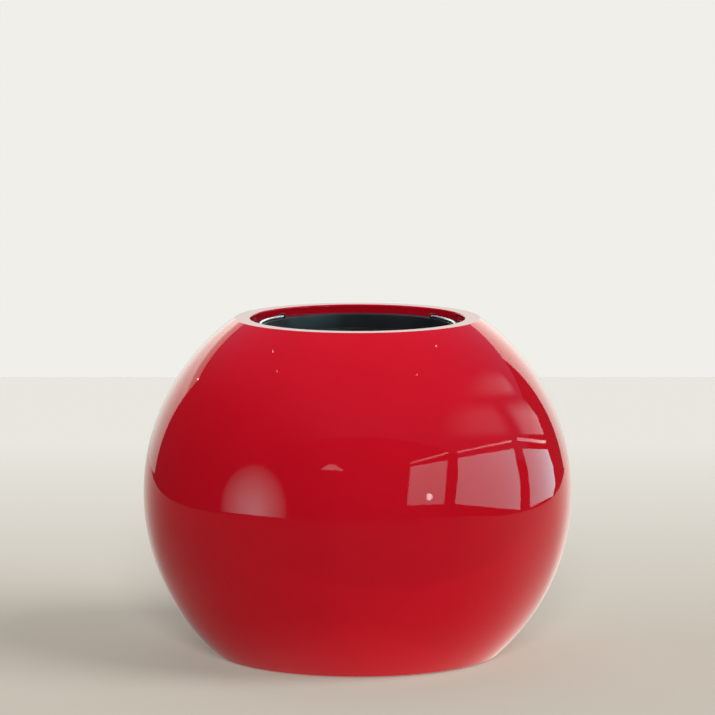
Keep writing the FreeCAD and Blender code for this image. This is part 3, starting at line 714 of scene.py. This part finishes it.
# Left and right line of each patch in pixels, its brightness from left to right, and the shares of it over
# which it eases in and out, first across and then upwards.
WASHES = {
    "high": ([(450.0, 404.0), (462.0, 382.0), (480.0, 364.0)],
             [(520.0, 397.0), (513.0, 385.0), (500.0, 370.0)], (0.5, 2.4), (0.5, 0.12), (0.35, 0.5)),
    "inner": ([(430.0, 444.0), (436.0, 420.0), (452.0, 398.0)],
              [(518.0, 438.0), (508.0, 420.0), (495.0, 400.0)], (2.1, 2.1), (0.6, 0.2), (0.3, 0.45)),
    "outer": ([(518.0, 434.0), (507.0, 416.0), (497.0, 400.0)],
              [(544.0, 434.5), (537.0, 416.0), (523.0, 397.0)], (2.5, 3.7), (0.4, 0.0), (0.0, 0.5)),
}


def side_wash():
    """Soft patches of glow above the tall boxes: one high up, one inside, the brightest along the outside."""
    for name, (left, right, strength, across, upwards) in WASHES.items():
        softbox("wash_" + name, left, right, patch(strength, across, upwards), reach=WASH_REACH)


# The panel behind: the place of its left and right side at the bottom and at the top, its height at the left
# and at the right, its brightness at the bottom and what is added towards the top, at the left and the right.
PANEL_LEFT = (-3.28, -3.78)
PANEL_RIGHT = (2.58, 3.03)
PANEL_HEIGHT = (2.36, 2.52)
PANEL_FOOT = (1.2, 1.6)
PANEL_RISE = (1.25, 1.5)
# On its left part, the heights between which it is brighter, and those over which it dulls to the top.
PANEL_LEFT_PART = (0.55, 0.4)
RIDGE_START, RIDGE_END, RIDGE_GAIN = (1.35, 1.6), (1.76, 1.86), 0.2
DULL_START, DULL_LOSS = (1.8, 1.9), 0.4
# Behind the mouth: the half widths over which the tint changes, its share of the brightness, and the gap
# that keeps its screen in front of the panel.
MOUTH_WIDTH = (1.0, 0.25)
MOUTH_SHARE = 0.76
PANEL_GAP = Vector((0.0, 0.02, 0.0))
PANEL_GRID = (60, 40)


def back_panel():
    """A pale panel behind, duller along the top on the left, and dim and cool behind the mouth."""

    def place(u, v):
        x = between((between(PANEL_LEFT, v), between(PANEL_RIGHT, v)), u)
        return Vector((x, FLOOR_BACK, between(PANEL_HEIGHT, u) * v))

    def mouth(u, v):
        return smooth(*MOUTH_WIDTH, abs(place(u, v).x))

    def pale(u, v):
        level = between(PANEL_FOOT, u) + between(PANEL_RISE, u) * (1.0 - (1.0 - v) ** 2)
        return level * outline_dim(place(u, v))

    def sides(u, v):
        z = place(u, v).z
        ridge = RIDGE_GAIN * (smooth(*RIDGE_START, z) - smooth(*RIDGE_END, z))
        change = ridge - DULL_LOSS * smooth(*DULL_START, z)
        return pale(u, v) * (1.0 - mouth(u, v)) * (1.0 + smooth(*PANEL_LEFT_PART, u) * change)

    def nearer(u, v):
        return place(u, v) - PANEL_GAP

    def middle(u, v):
        return MOUTH_SHARE * pale(u, v) * mouth(u, v)

    screen("back_panel", *PANEL_GRID, place, sides, PANEL_TINT)
    screen("mouth_panel", *PANEL_GRID, nearer, middle, MOUTH_TINT)


# The floor as reflections see it: its inner radius, its half width and how much that leans to the left, and
# how much further it reaches in front, where it is ahead by these shares. The least share keeps its edge
# from running off without end.
SHEET_INNER_R = 0.2
SHEET_WIDTH, SHEET_LEAN = 2.45, 0.2
SHEET_FRONT, SHEET_FRONT_PART = 0.9, (0.2, 0.8)
LEAST_SHARE = 0.01
SHEET_GRID = (120, 30)
# Its brightness in front: far out, what is added nearer, and at the base, with the radii of both changes.
FRONT_FAR = 0.15
FRONT_NEAR, FRONT_NEAR_R = 0.22, (3.2, 0.9)
FRONT_BASE, FRONT_BASE_R = 0.27, (0.42, 0.27)
# Its brightness beside the ball, what is added to the right, the gain behind, and the shares ahead over
# which the front blends into the sides.
SIDE_LEVEL, SIDE_RIGHT = 0.83, 0.35
BEHIND_GAIN, BEHIND_PART = 0.5, (-0.4, -0.85)
SIDE_PART = (0.97, 0.0)
# Painted shadow: the shade that the ball throws to its left, drawn into the sheet's glow.
SHADE_LOSS, SHADE_R, SHADE_PART = 0.62, (0.55, 0.24), (-0.3, -0.9)


def floor_sheet():
    """Painted reflection of the floor: a glowing sheet in the floor's place, dark far in front, paler beside
    and behind, pale at the base.
    """

    def place(u, v):
        a = math.tau * u
        ahead, aside = math.cos(a), abs(math.sin(a))
        width = SHEET_WIDTH - SHEET_LEAN * math.sin(a)
        edge = width + SHEET_FRONT * smooth(*SHEET_FRONT_PART, ahead)
        if ahead < 0.0:
            edge = min(width / max(aside, LEAST_SHARE), FLOOR_BACK / max(-ahead, LEAST_SHARE))
        r = SHEET_INNER_R * (edge / SHEET_INNER_R) ** v
        return Vector((r * math.sin(a), -r * math.cos(a), 0.0))

    def light(u, v):
        point = place(u, v)
        r = math.hypot(point.x, point.y)
        ahead, right = -point.y / r, point.x / r
        front = FRONT_FAR + FRONT_NEAR * smooth(*FRONT_NEAR_R, r) + FRONT_BASE * smooth(*FRONT_BASE_R, r)
        side = (SIDE_LEVEL + SIDE_RIGHT * right) * (1.0 + BEHIND_GAIN * smooth(*BEHIND_PART, ahead))
        # Painted shadow of the ball, dimming the sheet's glow on its left.
        shade = 1.0 - SHADE_LOSS * smooth(*SHADE_R, r) * smooth(*SHADE_PART, right)
        return between((front, side), smooth(*SIDE_PART, ahead)) * shade * outline_dim(point)

    screen("floor_sheet", *SHEET_GRID, place, light, FLOOR_TINT)


# The sheet overhead: from left to right, from front to back, and its height at the front and the back.
TOP_X, TOP_Y, TOP_Z = (-5.0, 14.0), (-4.5, 3.6), (3.7, 2.5)
TOP_STRENGTH = 0.42
TOP_FADE = (-4.5, -0.45)
TOP_GRID = (76, 4)


def top_sheet():
    """A faint cool sheet overhead, dimmer on the left."""

    def place(u, v):
        return (between(TOP_X, u), between(TOP_Y, v), between(TOP_Z, v))

    def light(u, v):
        return TOP_STRENGTH * smooth(*TOP_FADE, between(TOP_X, u))

    screen("top_sheet", *TOP_GRID, place, light, TOP_TINT)


def group(name, member, state="INCLUDE"):
    """A set of objects for a lamp to reach: this one alone, or all but this one."""
    members = bpy.data.collections.new(name)
    members.objects.link(member)
    members.collection_objects[0].light_linking.link_state = state
    return members


def lamp(name, reached, azimuth, elevation, reach, size, power):
    """A round soft lamp aimed at the ball."""
    data = bpy.data.lights.new(name, "AREA")
    data.shape = "DISK"
    data.size = size
    data.energy = power
    obj = bpy.data.objects.new(name, data)
    bpy.context.scene.collection.objects.link(obj)
    obj.location = towards(azimuth, elevation, reach)
    obj.rotation_euler = (MIDDLE - obj.location).to_track_quat("-Z", "Y").to_euler()
    obj.visible_glossy = obj.visible_camera = False
    obj.light_linking.receiver_collection = reached


def far_light(name, reached, azimuth, elevation, width, strength, blocked=None):
    """A light from far away, this many degrees wide; blocked holds the only things that shade it."""
    data = bpy.data.lights.new(name, "SUN")
    data.energy = strength
    data.angle = math.radians(width)
    obj = bpy.data.objects.new(name, data)
    bpy.context.scene.collection.objects.link(obj)
    obj.rotation_euler = (MIDDLE - towards(azimuth, elevation, reach=1.0)).to_track_quat("-Z", "Y").to_euler()
    obj.visible_glossy = obj.visible_camera = False
    obj.light_linking.receiver_collection = reached
    if blocked:
        obj.light_linking.blocker_collection = blocked


def studio_lamps(floor):
    """Soft lamps for the object, and far lights for the floor, one of them shaded by the base alone."""
    object_only = group("object_only", floor, "EXCLUDE")
    lamp("high_left", object_only, azimuth=-70.0, elevation=66.0, reach=5.0, size=2.6, power=93.0)
    lamp("key", object_only, azimuth=10.0, elevation=48.0, reach=5.0, size=2.6, power=86.0)
    lamp("high_right", object_only, azimuth=85.0, elevation=66.0, reach=5.0, size=2.6, power=98.0)
    lamp("bounce", object_only, azimuth=15.0, elevation=-65.0, reach=2.4, size=2.0, power=4.0)
    lamp("bounce_right", object_only, azimuth=48.0, elevation=-35.0, reach=2.4, size=2.0, power=20.0)
    floor_only = group("floor_only", floor)
    board_only = group("board_only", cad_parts["base_board"])
    far_light("floor_even", floor_only, azimuth=0.0, elevation=90.0, width=2.0, strength=2.55,
              blocked=board_only)
    far_light("floor_front", floor_only, azimuth=1.0, elevation=22.0, width=14.0, strength=3.4)
    far_light("floor_right", floor_only, azimuth=66.0, elevation=35.0, width=40.0, strength=3.5)
    far_light("floor_behind", floor_only, azimuth=180.0, elevation=60.0, width=60.0, strength=1.0)


# What the camera sees past the floor, the even light, and what reflections see past the screens.
BACKDROP = (0.871, 0.863, 0.823)
AMBIENT = (0.01, 0.01, 0.01)
DARK = (0.06, 0.06, 0.06)


def studio_world():
    """A pale backdrop to the camera, a dark surround to reflections, and a little even light to the rest."""
    world = bpy.data.worlds.new("studio")
    world.use_nodes = True
    tree = world.node_tree
    tree.nodes.clear()
    path = tree.nodes.new("ShaderNodeLightPath")
    output = tree.nodes.new("ShaderNodeOutputWorld")
    sky = []
    for colour in (AMBIENT, DARK, BACKDROP):
        background = tree.nodes.new("ShaderNodeBackground")
        background.inputs["Color"].default_value = (*colour, 1.0)
        sky.append(background.outputs["Background"])
    seen = sky[0]
    for view, ray in zip(sky[1:], ("Is Glossy Ray", "Is Camera Ray")):
        mix = tree.nodes.new("ShaderNodeMixShader")
        tree.links.new(path.outputs[ray], mix.inputs["Fac"])
        tree.links.new(seen, mix.inputs[1])
        tree.links.new(view, mix.inputs[2])
        seen = mix.outputs["Shader"]
    tree.links.new(seen, output.inputs["Surface"])
    bpy.context.scene.world = world


studio_ground = studio_floor()
tall_boxes()
round_boxes()
side_wash()
back_panel()
floor_sheet()
top_sheet()
studio_world()
studio_lamps(studio_ground)
bpy.context.scene.view_settings.view_transform = "Standard"
